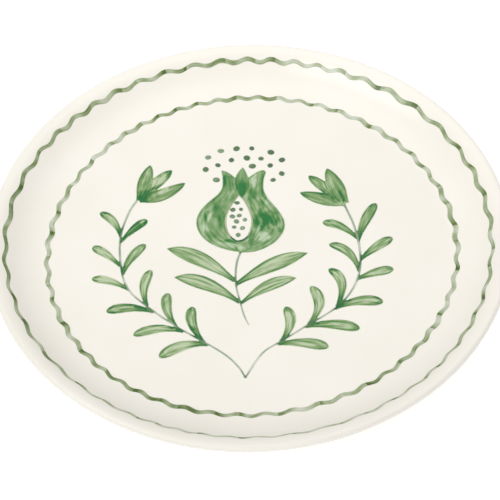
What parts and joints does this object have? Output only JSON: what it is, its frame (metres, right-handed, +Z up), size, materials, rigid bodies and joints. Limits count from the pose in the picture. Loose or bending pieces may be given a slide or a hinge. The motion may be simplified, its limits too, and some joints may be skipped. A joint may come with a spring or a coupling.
{
  "type": "ceramic dinner plate",
  "caption": "Round shallow ceramic plate with a flat well, a curved wall, a rounded rim and a foot ring, glazed cream and painted with green botanical strokes.",
  "frame": {"origin": "centre of the foot ring's resting face", "axes": "+Z up through the plate's middle, +Y towards the top of the painted motif"},
  "size_m": [0.27, 0.27, 0.0214],
  "materials": {
    "bare_clay": "unglazed stoneware",
    "cream_glaze": "glossy cream glaze",
    "line_green": "olive green brush line under gloss",
    "rind_green": "streaked green wash under gloss",
    "pale_green": "pale green brush line under gloss",
    "dot_green": "dark green dots under gloss",
    "stem_green": "thin grey green line under gloss",
    "leaf_green": "streaked green brush strokes under gloss"
  },
  "bodies": {
    "root": {"clay_body": "bare_clay", "glaze_coat": "cream_glaze", "foot_well_glaze": "cream_glaze", "outer_wavy_line": "line_green", "inner_wavy_line": "line_green", "pomegranate_rind": "rind_green", "pomegranate_sepal": "rind_green", "pomegranate_pocket_line": "pale_green", "pomegranate_seeds": "dot_green", "pomegranate_pollen": "dot_green", "centre_stem": "stem_green", "centre_leaves": "leaf_green", "left_stem": "stem_green", "left_leaves": "leaf_green", "left_flower": "leaf_green", "right_stem": "stem_green", "right_leaves": "leaf_green", "right_flower": "leaf_green"}
  },
  "joints": []
}
